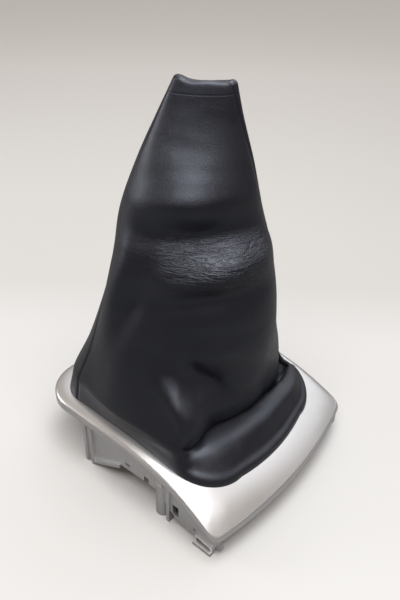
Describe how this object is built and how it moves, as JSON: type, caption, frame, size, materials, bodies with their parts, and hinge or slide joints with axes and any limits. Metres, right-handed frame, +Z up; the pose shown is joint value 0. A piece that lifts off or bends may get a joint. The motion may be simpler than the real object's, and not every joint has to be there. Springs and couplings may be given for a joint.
{
  "type": "gear lever gaiter",
  "caption": "Sewn leather boot, pinched at its open top, held by an inner frame in a silver console bezel with a sloping front apron.",
  "frame": {"origin": "on the surface that the bezel's feet stand on, under the middle of the part's bounding box", "axes": "+Z up along the gear lever, +X across the car, the sloping front apron towards -Y"},
  "size_m": [0.1536, 0.173, 0.256],
  "materials": {
    "silver_paint": "satin silver paint on moulded plastic",
    "leather": "satin, fine grain",
    "black_plastic": "matt moulded",
    "wire": "plain wire"
  },
  "bodies": {
    "root": {"bezel": "silver_paint", "front_panel": "leather", "rear_panel": "leather", "inner_frame": "black_plastic", "staple_1": "wire", "staple_2": "wire", "staple_3": "wire", "staple_4": "wire", "staple_5": "wire", "staple_6": "wire", "staple_7": "wire", "staple_8": "wire", "staple_9": "wire", "staple_10": "wire", "staple_11": "wire", "staple_12": "wire", "staple_13": "wire", "staple_14": "wire", "staple_15": "wire", "staple_16": "wire"}
  },
  "joints": []
}
